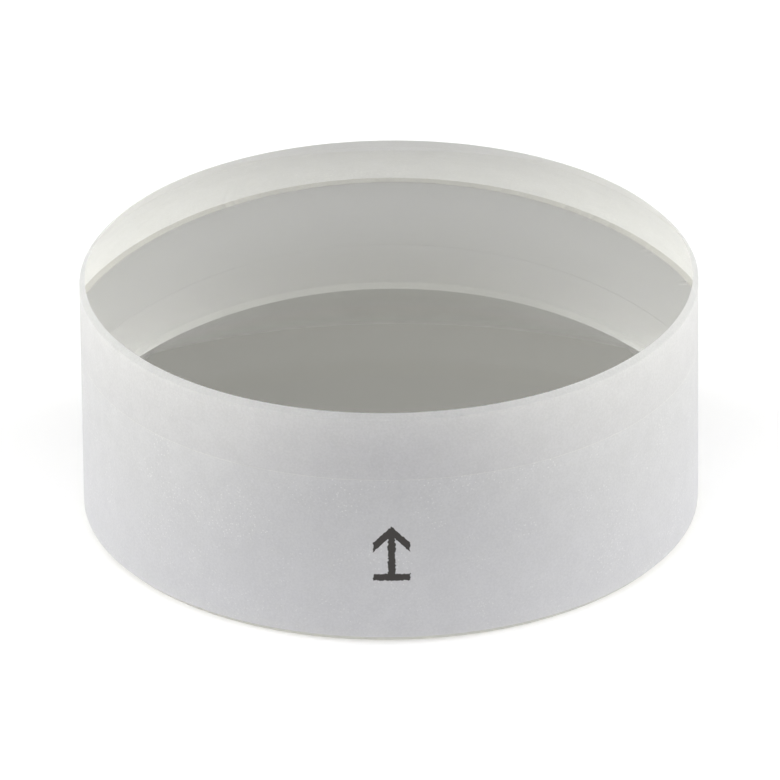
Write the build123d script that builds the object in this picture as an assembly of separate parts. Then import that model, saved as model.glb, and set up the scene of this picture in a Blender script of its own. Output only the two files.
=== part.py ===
from build123d import *
import os

os.makedirs("parts", exist_ok=True)

# Cemented achromatic doublet, 125 mm focal length. All sizes are in millimetres.
# The lens stands on the rim of its hollow flint face. The optical axis is +Z and
# the origin is where that axis meets the table.

# Driving sizes: the edge
DIAMETER = 25.4  # outside of the ground edge
CROWN_EDGE = 2.92  # height of the crown at the edge, top rim to cement
FLINT_EDGE = 7.4  # height of the flint at the edge, cement to bottom rim
CEMENT_THICKNESS = 0.02  # optical cement between the two glasses
TOP_BEVEL = 0.22  # 45 degree bevel round the domed face
BOTTOM_BEVEL = 0.25  # 45 degree bevel round the hollow face

# Driving sizes: the polished surfaces
TOP_RADIUS = 46.0  # domed face of the crown
JOINT_RADIUS = 108.0  # cemented face, bulging from the crown into the flint
BASE_RADIUS = 375.0  # hollow face of the flint

# Derived sizes
EDGE_RADIUS = DIAMETER / 2
TOP_RIM_RADIUS = EDGE_RADIUS - TOP_BEVEL
BOTTOM_RIM_RADIUS = EDGE_RADIUS - BOTTOM_BEVEL
JOINT_EDGE_Z = FLINT_EDGE
CROWN_BASE_Z = JOINT_EDGE_Z + CEMENT_THICKNESS
TOP_RIM_Z = CROWN_BASE_Z + CROWN_EDGE


def sag(radius, reach):
    """Depth of a spherical face at a given distance from the axis."""
    return radius - (radius**2 - reach**2) ** 0.5


def ball_below(radius, rim_radius, rim_z):
    """Ball centred below a face, so the face rises towards the axis.

    It lies on its side, with its poles away from the lens.
    """
    centre_z = rim_z + sag(radius, rim_radius) - radius
    return Pos(0, 0, centre_z) * Rot(90, 0, 0) * Sphere(radius)


def ball_above(radius, rim_radius, rim_z):
    """Ball centred above a face, so the face sinks towards the axis."""
    centre_z = rim_z - sag(radius, rim_radius) + radius
    return Pos(0, 0, centre_z) * Rot(90, 0, 0) * Sphere(radius)


def turned_blank(outline):
    """Solid of revolution from the outside line of a blank, top to bottom."""
    (top_r, top_z), (bottom_r, bottom_z) = outline[0], outline[-1]
    section = Polyline((0, top_z), *outline, (0, bottom_z), close=True)
    return revolve(Plane.XZ * make_face(section), Axis.Z)


def make_crown():
    """Biconvex crown, its edge ground and bevelled and both faces ground round."""
    allowance = 2 * sag(TOP_RADIUS, TOP_RIM_RADIUS)
    blank = turned_blank(
        [
            (TOP_RIM_RADIUS - allowance, TOP_RIM_Z + allowance),
            (EDGE_RADIUS, TOP_RIM_Z - TOP_BEVEL),
            (EDGE_RADIUS, CROWN_BASE_Z - 2 * sag(JOINT_RADIUS, EDGE_RADIUS)),
        ]
    )
    domed = blank & ball_below(TOP_RADIUS, TOP_RIM_RADIUS, TOP_RIM_Z)
    return domed & ball_above(JOINT_RADIUS, EDGE_RADIUS, CROWN_BASE_Z)


def make_cement():
    """Thin layer of cement that fills the curved joint out to the edge."""
    depth = CEMENT_THICKNESS + 2 * sag(JOINT_RADIUS, EDGE_RADIUS)
    slab = turned_blank([(EDGE_RADIUS, CROWN_BASE_Z), (EDGE_RADIUS, CROWN_BASE_Z - depth)])
    dished = slab & ball_above(JOINT_RADIUS, EDGE_RADIUS, JOINT_EDGE_Z)
    return dished - ball_above(JOINT_RADIUS, EDGE_RADIUS, CROWN_BASE_Z)


def make_flint():
    """Flint, hollow on both faces, with the bevelled rim it stands on."""
    allowance = 2 * sag(BASE_RADIUS, BOTTOM_RIM_RADIUS)
    blank = turned_blank(
        [
            (EDGE_RADIUS, JOINT_EDGE_Z),
            (EDGE_RADIUS, BOTTOM_BEVEL),
            (BOTTOM_RIM_RADIUS - allowance, -allowance),
        ]
    )
    dished = blank - ball_above(JOINT_RADIUS, EDGE_RADIUS, JOINT_EDGE_Z)
    return dished - ball_below(BASE_RADIUS, BOTTOM_RIM_RADIUS, 0)


def save(part, name):
    """Write one named element to its own file."""
    part.label = name
    export_step(part, f"parts/{name}.step")


save(make_crown(), "crown_element")
save(make_cement(), "cement_layer")
save(make_flint(), "flint_element")
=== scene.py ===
import math

import bpy
from mathutils import Matrix, Vector


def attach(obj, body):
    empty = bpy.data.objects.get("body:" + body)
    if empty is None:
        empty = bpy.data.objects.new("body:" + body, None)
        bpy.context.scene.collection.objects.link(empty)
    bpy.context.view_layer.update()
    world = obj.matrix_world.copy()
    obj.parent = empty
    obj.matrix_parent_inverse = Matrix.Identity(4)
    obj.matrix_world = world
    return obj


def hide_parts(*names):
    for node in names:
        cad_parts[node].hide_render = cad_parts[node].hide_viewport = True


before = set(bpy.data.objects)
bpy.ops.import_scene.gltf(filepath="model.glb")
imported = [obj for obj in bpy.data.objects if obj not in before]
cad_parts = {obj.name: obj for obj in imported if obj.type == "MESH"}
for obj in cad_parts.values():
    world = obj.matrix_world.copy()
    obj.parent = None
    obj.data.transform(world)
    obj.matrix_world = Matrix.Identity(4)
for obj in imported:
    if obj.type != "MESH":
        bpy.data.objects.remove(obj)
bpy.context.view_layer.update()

MM = 0.001

# The sizes of part.py, in metres, and the refractive indices of its two glasses
EDGE_R = 12.7 * MM
TOP_RIM_R = 12.48 * MM
TOP_RIM_Z = 10.34 * MM
TOP_BEVEL = 0.22 * MM
BOTTOM_RIM_R = 12.45 * MM
BOTTOM_BEVEL = 0.25 * MM
CROWN_BASE_Z = 7.42 * MM
JOINT_EDGE_Z = 7.40 * MM
TOP_RADIUS = 46.0 * MM
JOINT_RADIUS = 108.0 * MM
BASE_RADIUS = 375.0 * MM
CROWN_IOR = 1.517
FLINT_IOR = 1.673

# Points round a ring, and rings down a spherical face and down the edge
AROUND = 1440
FACE_RINGS = 28
WALL_RINGS = 4

# The cement film ends in a lip at the edge, and lies this far off the flint inside it,
# so that light never meets two faces in one place
FILM_LIP = 0.02 * MM
FILM_LIFT = 0.004 * MM

# Shares of the light outside that reach what lies behind the dome, the base and ground glass
DOME_SHARE = 0.97
BASE_SHARE = 0.46
WALL_SHARE = 0.42

# Light that ground glass lets through: the crown's edge, the flint's edge and the two bevels, with
# painted light on the upper bevel and painted shade on the lower one
CREAM = (0.5, 0.5, 0.445)
FLINT_CREAM = (0.465, 0.465, 0.415)
TOP_BEVEL_CREAM_PAINTED_LIGHT = (0.56, 0.563, 0.515)
LOW_BEVEL_CREAM_PAINTED_SHADE = (0.455, 0.45, 0.405)

# Ground glass: painted light that makes it brighter toward the base, and its fine grain, its broader
# blotches, the pits with painted glints, and the patches that have such pits
PAINTED_FOOT_LIGHT = 0.13
GRAIN_SCALE = 11000.0
GRAIN_EDGE = (0.3, 0.7)
GRAIN_TONES = (0.92, 1.0)
BLOTCH_SCALE = 1100.0
BLOTCH_SHARE = 0.35
PIT_PAINTED_GLINT = (0.62, 0.62, 0.60, 1.0)
PIT_SCALE = 6500.0
PIT_EDGE = (0.28, 0.08)
PATCH_SCALE = 500.0
PATCH_EDGE = (0.45, 0.62)
GROUND_ROUGHNESS = 0.6
BUMP_STRENGTH = 0.2
BUMP_DEPTH = 0.01 * MM

# The printed arrow on the front of the edge, and its ink seen from outside and through
ARROW_FOOT_Z = 3.0 * MM
ARROW_TIP_Z = 5.1 * MM
ARROW_REACH = 0.75 * MM
STROKE = 0.3 * MM
RAGGED_SCALE = 9000.0
RAGGED_DEPTH = 0.14 * MM
INK_EDGE = (0.085 * MM, 0.055 * MM)
INK = (0.05, 0.047, 0.045, 1.0)
INK_THROUGH = (0.012, 0.011, 0.011, 1.0)

# The floor: its tones, with painted shade right under the lens, and where it turns from one to the next
FLOOR_RADIUS = 3.0
FLOOR_SIDES = 128
FLOOR_PAINTED_SHADE = (0.58, 0.577, 0.54, 1.0)
FLOOR_NEAR = (0.97, 0.97, 0.978, 1.0)
FLOOR_FAR = (0.3, 0.3, 0.3, 1.0)
PAINTED_SHADE_EDGE = (3.0 * MM, 12.0 * MM)
FAR_EDGE = (90.0 * MM, 150.0 * MM)

# The surroundings: their tones, and where each begins and is in full, by direction
OPEN_WAY = (0.85, 0.85, 0.85, 1.0)
FRONT_WAY = (1.65, 1.65, 1.66, 1.0)
SIDE_WAY = (19.6, 19.6, 18.8, 1.0)
BACK_LEFT_WAY = (0.325, 0.322, 0.294, 1.0)
BACK_RIGHT_WAY = (0.262, 0.26, 0.236, 1.0)
TOP_WAY = (1.35, 1.35, 1.35, 1.0)
FRONT_EDGE_Y = (-0.3, -0.85)
SIDE_EDGE_X = (0.84, 0.95)
SIDE_EDGE_Y = (-0.05, 0.2)
BACK_EDGE_X = (0.85, 0.65)
BACK_EDGE_Y = (0.1, 0.45)
BACK_TURN_X = (-0.3, 0.3)
TOP_EDGE_Z = (0.87, 0.96)

# The camera: focal length and sensor in millimetres, place, tilt and roll in degrees
CAMERA_LENS = 581.774
CAMERA_SENSOR = 36.0
CAMERA_PLACE = (0.0, -462.242, 241.869)
CAMERA_TILT = 27.1335
CAMERA_ROLL = 0.5648
CLIP_NEAR = 0.01
CLIP_FAR = 20.0

# Bounces of light through the glass, and through faces that let it straight through
BOUNCES = 32
CLEAR_BOUNCES = 48

# Sockets of the Mix node, which have the same names for numbers and for colours
MIX_FACTOR = 0
NUMBER_A = 2
NUMBER_B = 3
NUMBER_OUT = 0
COLOUR_A = 6
COLOUR_B = 7
COLOUR_OUT = 2

# Small chips in the lower bevel: bearing in degrees, half width in degrees, depth
CHIPS = [
    (117.8, 0.6, 0.05 * MM),
    (116.1, 0.35, 0.03 * MM),
    (124.0, 0.5, 0.02 * MM),
    (128.5, 0.8, 0.025 * MM),
    (134.0, 0.4, 0.02 * MM),
    (71.0, 0.4, 0.03 * MM),
    (59.3, 0.5, 0.04 * MM),
    (56.2, 0.9, 0.03 * MM),
    (54.0, 0.45, 0.04 * MM),
    (50.5, 0.5, 0.02 * MM),
    (41.0, 0.5, 0.04 * MM),
    (39.3, 0.35, 0.03 * MM),
    (28.7, 0.6, 0.05 * MM),
    (171.0, 0.6, 0.04 * MM),
    (232.0, 0.5, 0.03 * MM),
]

# A chip goes in and up by these shares of its depth, and this share of it is uneven.
# The bevel has rings at these steps down it, and the base one close to its rim.
CHIP_IN = 0.8
CHIP_UP = 0.6
CHIP_UNEVEN = 0.25
CHIP_RIPPLE = 9.0
BEVEL_STEPS = (0.0, 0.08 * MM, 0.17 * MM)
CLOSE_RING = 0.1 * MM
SLACK = 0.001 * MM


def sag(radius, reach):
    """Depth of a spherical face at a given distance from the axis."""
    return radius - math.sqrt(radius**2 - reach**2)


def sphere_rings(radius, rim_r, rim_z, bulge):
    """Rings of a spherical face from the axis out to the rim."""
    apex = rim_z + bulge * sag(radius, rim_r)
    steps = [rim_r * (i / FACE_RINGS) for i in range(FACE_RINGS + 1)]
    return [(r, apex - bulge * sag(radius, r)) for r in steps]


def wall_rings(top_z, low_z):
    """Rings of the ground edge from its upper end down to its lower one."""
    return [(EDGE_R, top_z + (low_z - top_z) * i / WALL_RINGS) for i in range(WALL_RINGS + 1)]


def low_bevel_rings():
    """Rings of the lower bevel from the edge down to the rim of the base."""
    return [(EDGE_R - step, BOTTOM_BEVEL - step) for step in BEVEL_STEPS] + [(BOTTOM_RIM_R, 0.0)]


def base_rings():
    """Rings of the base from the rim in, with one close to it that keeps the chips there."""
    rings = sphere_rings(BASE_RADIUS, BOTTOM_RIM_R, 0.0, 1)[::-1]
    close = BOTTOM_RIM_R - CLOSE_RING
    lift = sag(BASE_RADIUS, BOTTOM_RIM_R) - sag(BASE_RADIUS, close)
    return rings[:1] + [(close, lift)] + rings[1:]


def chip_depth(angle, r, z):
    """How deep the lower bevel is chipped at a bearing, and nothing away from the bevel."""
    if z > BOTTOM_BEVEL + SLACK or r < BOTTOM_RIM_R - SLACK:
        return 0.0
    deepest = 0.0
    for bearing, half, depth in CHIPS:
        off = abs((angle - bearing + 180.0) % 360.0 - 180.0) / half
        if off < 1.0:
            uneven = 1.0 - CHIP_UNEVEN + CHIP_UNEVEN * math.cos(off * CHIP_RIPPLE + bearing)
            deepest = max(deepest, depth * (1.0 - off**2) * uneven)
    return deepest


def lathe(name, bands, chipped=False):
    """Turned solid from bands of rings, one material a band, sharp between the bands.

    The bands run from the top of the axis, down the outside, to the axis again.
    """
    loops = []
    for number, band in enumerate(bands):
        for place, (r, z) in enumerate(band):
            if number == 0 or place > 0:
                loops.append((r, z, number, place == len(band) - 1))
    top_z = loops.pop(0)[1]
    low_z = loops.pop()[1]

    verts = [(0.0, 0.0, top_z)]
    for r, z, _, _ in loops:
        for i in range(AROUND):
            angle = 360.0 * i / AROUND
            chip = chip_depth(angle, r, z) if chipped else 0.0
            reach = r - CHIP_IN * chip
            turn = math.radians(angle)
            verts.append((reach * math.cos(turn), reach * math.sin(turn), z + CHIP_UP * chip))
    apex_low = len(verts)
    verts.append((0.0, 0.0, low_z))

    faces = [(0, 1 + i, 1 + (i + 1) % AROUND) for i in range(AROUND)]
    slots = [0] * AROUND
    for k, (_, _, band, _) in enumerate(loops[1:]):
        high = 1 + k * AROUND
        low = high + AROUND
        for i in range(AROUND):
            j = (i + 1) % AROUND
            faces.append((high + i, low + i, low + j, high + j))
            slots.append(band)
    last = apex_low - AROUND
    faces += [(last + i, apex_low, last + (i + 1) % AROUND) for i in range(AROUND)]
    slots += [len(bands) - 1] * AROUND

    mesh = bpy.data.meshes.new(name)
    mesh.from_pydata(verts, [], faces)
    mesh.polygons.foreach_set("material_index", slots)
    mesh.polygons.foreach_set("use_smooth", [True] * len(faces))
    sharp = {k for k, loop in enumerate(loops[:-1]) if loop[3]}
    for edge in mesh.edges:
        a, b = edge.vertices
        if a and b < apex_low and (a - 1) // AROUND == (b - 1) // AROUND:
            if (a - 1) // AROUND in sharp:
                edge.use_edge_sharp = True
    mesh.validate()
    obj = bpy.data.objects.new(name, mesh)
    bpy.context.collection.objects.link(obj)
    return obj


def new_material(name):
    """An empty node material, with its tree and its output node."""
    mat = bpy.data.materials.new(name)
    mat.use_nodes = True
    tree = mat.node_tree
    tree.nodes.clear()
    out = tree.nodes.new("ShaderNodeOutputMaterial")
    return mat, tree, out


def remap(tree, source, low, high, bottom=0.0, top=1.0):
    """Soft step of a value from bottom, at low, to top, at high."""
    step = tree.nodes.new("ShaderNodeMapRange")
    step.interpolation_type = "SMOOTHSTEP"
    step.inputs["From Min"].default_value = low
    step.inputs["From Max"].default_value = high
    step.inputs["To Min"].default_value = bottom
    step.inputs["To Max"].default_value = top
    tree.links.new(source, step.inputs["Value"])
    return step.outputs["Result"]


def arithmetic(tree, operation, first, second=None):
    """One step of arithmetic on sockets or plain numbers."""
    node = tree.nodes.new("ShaderNodeMath")
    node.operation = operation
    for place, value in enumerate((first, second)):
        if value is None:
            continue
        if isinstance(value, float):
            node.inputs[place].default_value = value
        else:
            tree.links.new(value, node.inputs[place])
    return node.outputs["Value"]


def blend_colours(tree, factor, first, second):
    """Mix of two plain colours or colour sockets by a factor socket."""
    mix = tree.nodes.new("ShaderNodeMix")
    mix.data_type = "RGBA"
    tree.links.new(factor, mix.inputs[MIX_FACTOR])
    for socket, value in ((mix.inputs[COLOUR_A], first), (mix.inputs[COLOUR_B], second)):
        if isinstance(value, tuple):
            socket.default_value = value
        else:
            tree.links.new(value, socket)
    return mix.outputs[COLOUR_OUT]


def let_light_through(tree, out, shader, share, scattered):
    """Lets a share of the light outside, and if asked scattered light, go straight through."""
    path = tree.nodes.new("ShaderNodeLightPath")
    clear = tree.nodes.new("ShaderNodeBsdfTransparent")
    clear.inputs["Color"].default_value = (share, share, share, 1.0)
    which = path.outputs["Is Shadow Ray"]
    if scattered:
        which = arithmetic(tree, "MAXIMUM", which, path.outputs["Is Diffuse Ray"])
    mix = tree.nodes.new("ShaderNodeMixShader")
    tree.links.new(which, mix.inputs["Fac"])
    tree.links.new(shader, mix.inputs[1])
    tree.links.new(clear.outputs["BSDF"], mix.inputs[2])
    tree.links.new(mix.outputs["Shader"], out.inputs["Surface"])


def polished(name, ior, share):
    """Polished optical face, against air."""
    mat, tree, out = new_material(name)
    glass = tree.nodes.new("ShaderNodeBsdfPrincipled")
    glass.inputs["Base Color"].default_value = (1.0, 1.0, 1.0, 1.0)
    glass.inputs["Transmission Weight"].default_value = 1.0
    glass.inputs["Roughness"].default_value = 0.0
    glass.inputs["IOR"].default_value = ior
    let_light_through(tree, out, glass.outputs["BSDF"], share, True)
    return mat


def joint_pass(name):
    """Cemented face of the crown or the cement: the light goes on to the flint's face."""
    mat, tree, out = new_material(name)
    clear = tree.nodes.new("ShaderNodeBsdfTransparent")
    tree.links.new(clear.outputs["BSDF"], out.inputs["Surface"])
    return mat


def joint_refract(name):
    """Cemented face of the flint: bends light by the ratio of the two glasses."""
    mat, tree, out = new_material(name)
    bend = tree.nodes.new("ShaderNodeBsdfRefraction")
    bend.inputs["Roughness"].default_value = 0.0
    bend.inputs["IOR"].default_value = FLINT_IOR / CROWN_IOR
    let_light_through(tree, out, bend.outputs["BSDF"], 1.0, True)
    return mat


def noise(tree, place, scale, detail):
    """Even noise in the object's own coordinates."""
    node = tree.nodes.new("ShaderNodeTexNoise")
    node.inputs["Scale"].default_value = scale
    node.inputs["Detail"].default_value = detail
    tree.links.new(place, node.inputs["Vector"])
    return node.outputs["Fac"]


def axes(tree, place):
    """The three coordinates of a place or a direction, each as a socket."""
    split = tree.nodes.new("ShaderNodeSeparateXYZ")
    tree.links.new(place, split.inputs["Vector"])
    return split.outputs["X"], split.outputs["Y"], split.outputs["Z"]


def arrow_mask(tree, place):
    """Where the printed arrow on the front of the edge is: a shaft on a bar, pointing up."""
    x, y, z = axes(tree, place)
    across = arithmetic(tree, "ABSOLUTE", x)
    middle = 0.5 * (ARROW_FOOT_Z + ARROW_TIP_Z)
    height = ARROW_TIP_Z - ARROW_FOOT_Z
    off_middle = arithmetic(tree, "ABSOLUTE", arithmetic(tree, "SUBTRACT", z, middle))
    shaft = arithmetic(
        tree,
        "MAXIMUM",
        arithmetic(tree, "SUBTRACT", across, 0.5 * STROKE),
        arithmetic(tree, "SUBTRACT", off_middle, 0.5 * height),
    )
    off_foot = arithmetic(tree, "ABSOLUTE", arithmetic(tree, "SUBTRACT", z, ARROW_FOOT_Z))
    bar = arithmetic(
        tree,
        "MAXIMUM",
        arithmetic(tree, "SUBTRACT", across, ARROW_REACH),
        arithmetic(tree, "SUBTRACT", off_foot, 0.5 * STROKE),
    )
    below_tip = arithmetic(tree, "SUBTRACT", ARROW_TIP_Z, z)
    off_slant = arithmetic(tree, "ABSOLUTE", arithmetic(tree, "SUBTRACT", across, below_tip))
    barb = arithmetic(
        tree,
        "MAXIMUM",
        arithmetic(tree, "SUBTRACT", off_slant, 0.5 * STROKE * math.sqrt(2.0)),
        arithmetic(tree, "SUBTRACT", across, ARROW_REACH),
    )
    outside = arithmetic(tree, "MINIMUM", shaft, arithmetic(tree, "MINIMUM", bar, barb))
    ragged = arithmetic(tree, "MULTIPLY", noise(tree, place, RAGGED_SCALE, 1.0), RAGGED_DEPTH)
    ink = remap(tree, arithmetic(tree, "ADD", outside, ragged), *INK_EDGE)
    return arithmetic(tree, "MULTIPLY", ink, arithmetic(tree, "LESS_THAN", y, 0.0))


def grain_tone(tree, place, grain):
    """Grey of ground glass before its colour: grain and blotches, and painted light that brightens it
    toward the base.
    """
    tone = tree.nodes.new("ShaderNodeMix")
    tone.data_type = "FLOAT"
    tone.inputs[MIX_FACTOR].default_value = BLOTCH_SHARE
    tree.links.new(grain, tone.inputs[NUMBER_A])
    tree.links.new(noise(tree, place, BLOTCH_SCALE, 5.0), tone.inputs[NUMBER_B])
    mottle = remap(tree, tone.outputs[NUMBER_OUT], *GRAIN_EDGE, *GRAIN_TONES)
    _, _, z = axes(tree, place)
    # Painted light: the ground glass grows brighter from the joint down to the base, against the shade of
    # the floor by its foot
    painted_foot_light = remap(tree, z, JOINT_EDGE_Z, 0.0, 0.0, PAINTED_FOOT_LIGHT)
    level = arithmetic(tree, "ADD", mottle, painted_foot_light)
    grey = tree.nodes.new("ShaderNodeCombineColor")
    for channel in ("Red", "Green", "Blue"):
        tree.links.new(level, grey.inputs[channel])
    return grey.outputs["Color"]


def pit_mask(tree, place, speck):
    """Where the coarser pits are, in patches, and how bright their painted glints are."""
    pits = tree.nodes.new("ShaderNodeTexVoronoi")
    pits.inputs["Scale"].default_value = PIT_SCALE
    tree.links.new(place, pits.inputs["Vector"])
    patches = remap(tree, noise(tree, place, PATCH_SCALE, 2.0), *PATCH_EDGE)
    dots = remap(tree, pits.outputs["Distance"], *PIT_EDGE, 0.0, speck)
    return arithmetic(tree, "MULTIPLY", dots, patches)


def ground(name, facing, through, speck, printed=False):
    """Fine-ground glass: white scatter on both sides, a fine grain and some painted glints in its pits.

    Facing is the share of each colour that the surface throws back, through the share
    that it lets into the glass, and speck the brightness of the painted glints in its coarser pits.
    """
    mat, tree, out = new_material(name)
    place = tree.nodes.new("ShaderNodeTexCoord").outputs["Object"]
    grain = noise(tree, place, GRAIN_SCALE, 2.0)
    grey = grain_tone(tree, place, grain)
    dots = pit_mask(tree, place, speck)
    ink = arrow_mask(tree, place) if printed else None
    bump = tree.nodes.new("ShaderNodeBump")
    bump.inputs["Strength"].default_value = BUMP_STRENGTH
    bump.inputs["Distance"].default_value = BUMP_DEPTH
    tree.links.new(grain, bump.inputs["Height"])
    scatter = tree.nodes.new("ShaderNodeBsdfDiffuse")
    scatter.inputs["Roughness"].default_value = GROUND_ROUGHNESS
    passing = tree.nodes.new("ShaderNodeBsdfTranslucent")
    for shader, share, dark in ((scatter, facing, INK), (passing, through, INK_THROUGH)):
        colour = tree.nodes.new("ShaderNodeMix")
        colour.data_type = "RGBA"
        colour.blend_type = "MULTIPLY"
        colour.inputs[MIX_FACTOR].default_value = 1.0
        colour.inputs[COLOUR_B].default_value = share + (1.0,)
        tree.links.new(grey, colour.inputs[COLOUR_A])
        # Painted glints: the coarser pits are brightened in the colour itself
        shown = blend_colours(tree, dots, colour.outputs[COLOUR_OUT], PIT_PAINTED_GLINT)
        if printed:
            shown = blend_colours(tree, ink, shown, dark)
        tree.links.new(shown, shader.inputs["Color"])
        tree.links.new(bump.outputs["Normal"], shader.inputs["Normal"])
    total = tree.nodes.new("ShaderNodeAddShader")
    tree.links.new(scatter.outputs["BSDF"], total.inputs[0])
    tree.links.new(passing.outputs["BSDF"], total.inputs[1])
    let_light_through(tree, out, total.outputs["Shader"], WALL_SHARE, False)
    return mat


def place_piece(obj, node, mats):
    """Gives a turned piece its materials and puts it in the place of its CAD node."""
    for mat in mats:
        obj.data.materials.append(mat)
    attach(obj, "root")
    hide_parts(node)


crown_edge = ground("ground_crown_edge", facing=(0.14, 0.138, 0.193), through=CREAM, speck=0.06)
flint_edge = ground(
    "ground_flint_edge", facing=(0.18, 0.18, 0.23), through=FLINT_CREAM, speck=0.22, printed=True
)
# Painted light: the upper bevel throws back and lets through more than the crown's edge, though it is the
# same ground glass
top_bevel = ground("ground_top_bevel_painted_light", facing=(0.19, 0.19, 0.23), through=TOP_BEVEL_CREAM_PAINTED_LIGHT, speck=0.05)
# Painted shade: the lower bevel throws back and lets through less than the flint's edge, though it is the
# same ground glass
low_bevel = ground("ground_low_bevel_painted_shade", facing=(0.1, 0.1, 0.12), through=LOW_BEVEL_CREAM_PAINTED_SHADE, speck=0.1)
cement_edge = ground("cement_edge", facing=(0.22, 0.22, 0.25), through=CREAM, speck=0.0)
clear_joint = joint_pass("cemented_face")

crown_glass = lathe(
    "crown_glass",
    [
        sphere_rings(TOP_RADIUS, TOP_RIM_R, TOP_RIM_Z, 1),
        [(TOP_RIM_R, TOP_RIM_Z), (EDGE_R, TOP_RIM_Z - TOP_BEVEL)],
        wall_rings(TOP_RIM_Z - TOP_BEVEL, CROWN_BASE_Z),
        sphere_rings(JOINT_RADIUS, EDGE_R, CROWN_BASE_Z, -1)[::-1],
    ],
)
dome = polished("coated_dome", CROWN_IOR, DOME_SHARE)
place_piece(crown_glass, "crown_element", [dome, top_bevel, crown_edge, clear_joint])

cement_film = lathe(
    "cement_film",
    [
        sphere_rings(JOINT_RADIUS, EDGE_R, CROWN_BASE_Z, -1),
        [(EDGE_R, CROWN_BASE_Z), (EDGE_R, JOINT_EDGE_Z), (EDGE_R - FILM_LIP, JOINT_EDGE_Z + FILM_LIFT)],
        sphere_rings(JOINT_RADIUS, EDGE_R - FILM_LIP, JOINT_EDGE_Z + FILM_LIFT, -1)[::-1],
    ],
)
place_piece(cement_film, "cement_layer", [clear_joint, cement_edge, clear_joint])

flint_glass = lathe(
    "flint_glass",
    [
        sphere_rings(JOINT_RADIUS, EDGE_R, JOINT_EDGE_Z, -1),
        wall_rings(JOINT_EDGE_Z, BOTTOM_BEVEL),
        low_bevel_rings(),
        base_rings(),
    ],
    chipped=True,
)
flint_joint = joint_refract("flint_joint")
base = polished("coated_base", FLINT_IOR, BASE_SHARE)
place_piece(flint_glass, "flint_element", [flint_joint, flint_edge, low_bevel, base])


def make_floor():
    """Plain pale floor, not part of the object.

    It has painted shade, a little greyer, right under the lens, and is grey far behind it.
    """
    bpy.ops.mesh.primitive_circle_add(vertices=FLOOR_SIDES, radius=FLOOR_RADIUS, fill_type="NGON")
    floor = bpy.context.object
    floor.name = "floor"
    mat, tree, out = new_material("pale_floor")
    paper = tree.nodes.new("ShaderNodeBsdfDiffuse")
    place = tree.nodes.new("ShaderNodeTexCoord").outputs["Object"]
    reach = tree.nodes.new("ShaderNodeVectorMath")
    reach.operation = "LENGTH"
    tree.links.new(place, reach.inputs[0])
    _, y, _ = axes(tree, place)
    # Painted shade: the floor turns greyer right under the lens
    near = remap(tree, reach.outputs["Value"], *PAINTED_SHADE_EDGE)
    far = remap(tree, y, *FAR_EDGE)
    tone = blend_colours(tree, far, blend_colours(tree, near, FLOOR_PAINTED_SHADE, FLOOR_NEAR), FLOOR_FAR)
    tree.links.new(tone, paper.inputs["Color"])
    tree.links.new(paper.outputs["BSDF"], out.inputs["Surface"])
    floor.data.materials.append(mat)


def make_world():
    """Soft surroundings: bright overhead, at the sides and in front, dim behind.

    Polished glass mirrors and bends a dim room from every side, as with screened lamps.
    """
    world = bpy.data.worlds.new("studio")
    bpy.context.scene.world = world
    world.use_nodes = True
    tree = world.node_tree
    x, y, z = axes(tree, tree.nodes.new("ShaderNodeTexCoord").outputs["Generated"])
    across = arithmetic(tree, "ABSOLUTE", x)
    side = arithmetic(tree, "MULTIPLY", remap(tree, across, *SIDE_EDGE_X), remap(tree, y, *SIDE_EDGE_Y))
    behind = arithmetic(tree, "MULTIPLY", remap(tree, across, *BACK_EDGE_X), remap(tree, y, *BACK_EDGE_Y))
    sharp = tree.nodes.new("ShaderNodeLightPath").outputs["Is Singular Ray"]
    light = blend_colours(tree, remap(tree, y, *FRONT_EDGE_Y), OPEN_WAY, FRONT_WAY)
    light = blend_colours(tree, side, light, SIDE_WAY)
    back = blend_colours(tree, remap(tree, x, *BACK_TURN_X), BACK_LEFT_WAY, BACK_RIGHT_WAY)
    light = blend_colours(tree, arithmetic(tree, "MAXIMUM", behind, sharp), light, back)
    light = blend_colours(tree, remap(tree, z, *TOP_EDGE_Z), light, TOP_WAY)
    tree.links.new(light, tree.nodes["Background"].inputs["Color"])


def make_camera():
    """Long lens from the front, above the table, with a slight roll."""
    cam_data = bpy.data.cameras.new("camera")
    cam = bpy.data.objects.new("camera", cam_data)
    bpy.context.collection.objects.link(cam)
    cam_data.sensor_width = CAMERA_SENSOR
    cam_data.lens = CAMERA_LENS
    cam_data.clip_start = CLIP_NEAR
    cam_data.clip_end = CLIP_FAR
    cam.location = Vector(CAMERA_PLACE) * MM
    tilt = math.radians(CAMERA_TILT)
    ahead = Vector((0.0, math.cos(tilt), -math.sin(tilt)))
    turn = Matrix.Rotation(math.radians(CAMERA_ROLL), 4, ahead)
    cam.rotation_mode = "QUATERNION"
    cam.rotation_quaternion = (turn @ ahead.to_track_quat("-Z", "Y").to_matrix().to_4x4()).to_quaternion()
    bpy.context.scene.camera = cam


make_floor()
make_world()
make_camera()

scene = bpy.context.scene
scene.view_settings.view_transform = "Standard"
scene.cycles.max_bounces = BOUNCES
scene.cycles.transmission_bounces = BOUNCES
scene.cycles.transparent_max_bounces = CLEAR_BOUNCES
scene.cycles.use_denoising = True
scene.cycles.caustics_reflective = False
scene.cycles.caustics_refractive = False
